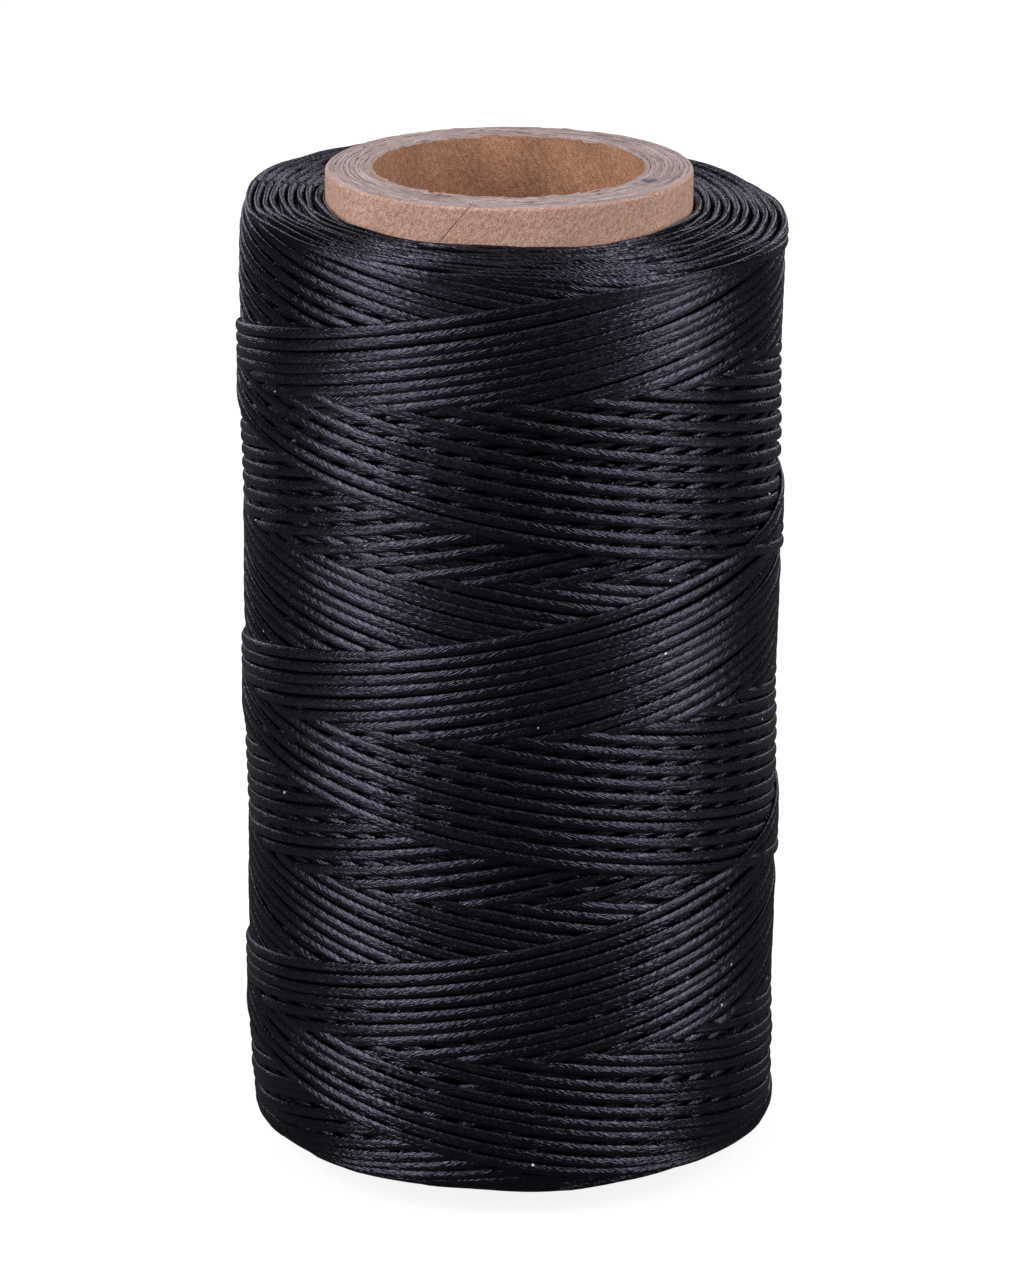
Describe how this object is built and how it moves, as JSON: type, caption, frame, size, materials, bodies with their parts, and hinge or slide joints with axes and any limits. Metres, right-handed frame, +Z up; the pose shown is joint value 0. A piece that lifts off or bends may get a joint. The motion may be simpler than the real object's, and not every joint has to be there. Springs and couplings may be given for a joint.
{
  "type": "waxed thread spool",
  "caption": "Cylindrical cross-wound spool of flat waxed stitching thread on a thick spirally wound paper tube that stands proud at both ends.",
  "frame": {"origin": "centre of the paper tube's lower end, on the surface that the spool stands on", "axes": "+Z up along the tube's axis, through the bore; the tube and the winding are round about it, so X and Y are free"},
  "size_m": [0.0508, 0.0508, 0.096],
  "materials": {
    "liner_kraft": "matte",
    "grey_board": "matte",
    "outer_kraft": "matte",
    "waxed_thread": "satin"
  },
  "bodies": {
    "root": {"core_liner_ply": "liner_kraft", "core_body_ply_1": "grey_board", "core_body_ply_2": "grey_board", "core_body_ply_3": "grey_board", "core_body_ply_4": "grey_board", "core_body_ply_5": "grey_board", "core_body_ply_6": "grey_board", "core_body_ply_7": "grey_board", "core_body_ply_8": "grey_board", "core_outer_ply": "outer_kraft", "thread_winding": "waxed_thread"}
  },
  "joints": []
}
